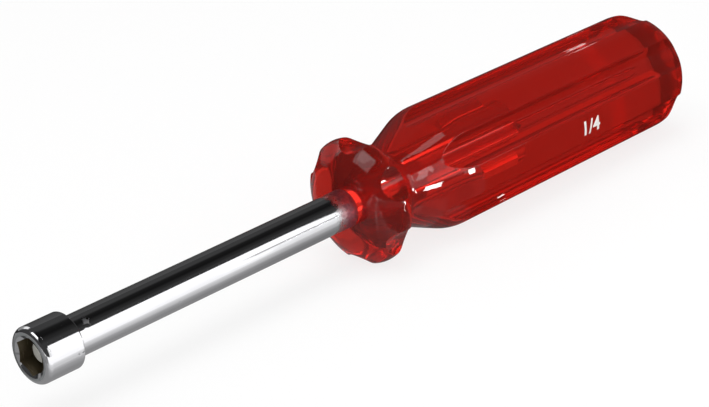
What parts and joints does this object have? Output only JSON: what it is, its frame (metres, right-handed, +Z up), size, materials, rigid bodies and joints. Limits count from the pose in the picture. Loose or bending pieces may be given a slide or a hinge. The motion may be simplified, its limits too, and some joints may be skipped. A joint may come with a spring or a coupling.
{
  "type": "nut driver",
  "caption": "Hand nut driver with a clear fluted handle, a guard flange, a round chromed shaft and a hex socket that holds a magnet.",
  "frame": {"origin": "on the surface that the tool lies on, under the middle of its length", "axes": "+X along the tool from the socket to the butt, +Z up from the surface, with a flute straight down"},
  "size_m": [0.1714, 0.0254, 0.0246],
  "materials": {
    "handle_acetate": "polished clear red",
    "shaft_chrome": "bright chrome plating",
    "socket_chrome": "bright chrome plating",
    "magnet_metal": "satin nickel plating",
    "bush_brass": "plain turned"
  },
  "bodies": {
    "root": {"handle": "handle_acetate", "shaft": "shaft_chrome", "socket": "socket_chrome", "magnet": "magnet_metal", "magnet_bush": "bush_brass"}
  },
  "joints": []
}
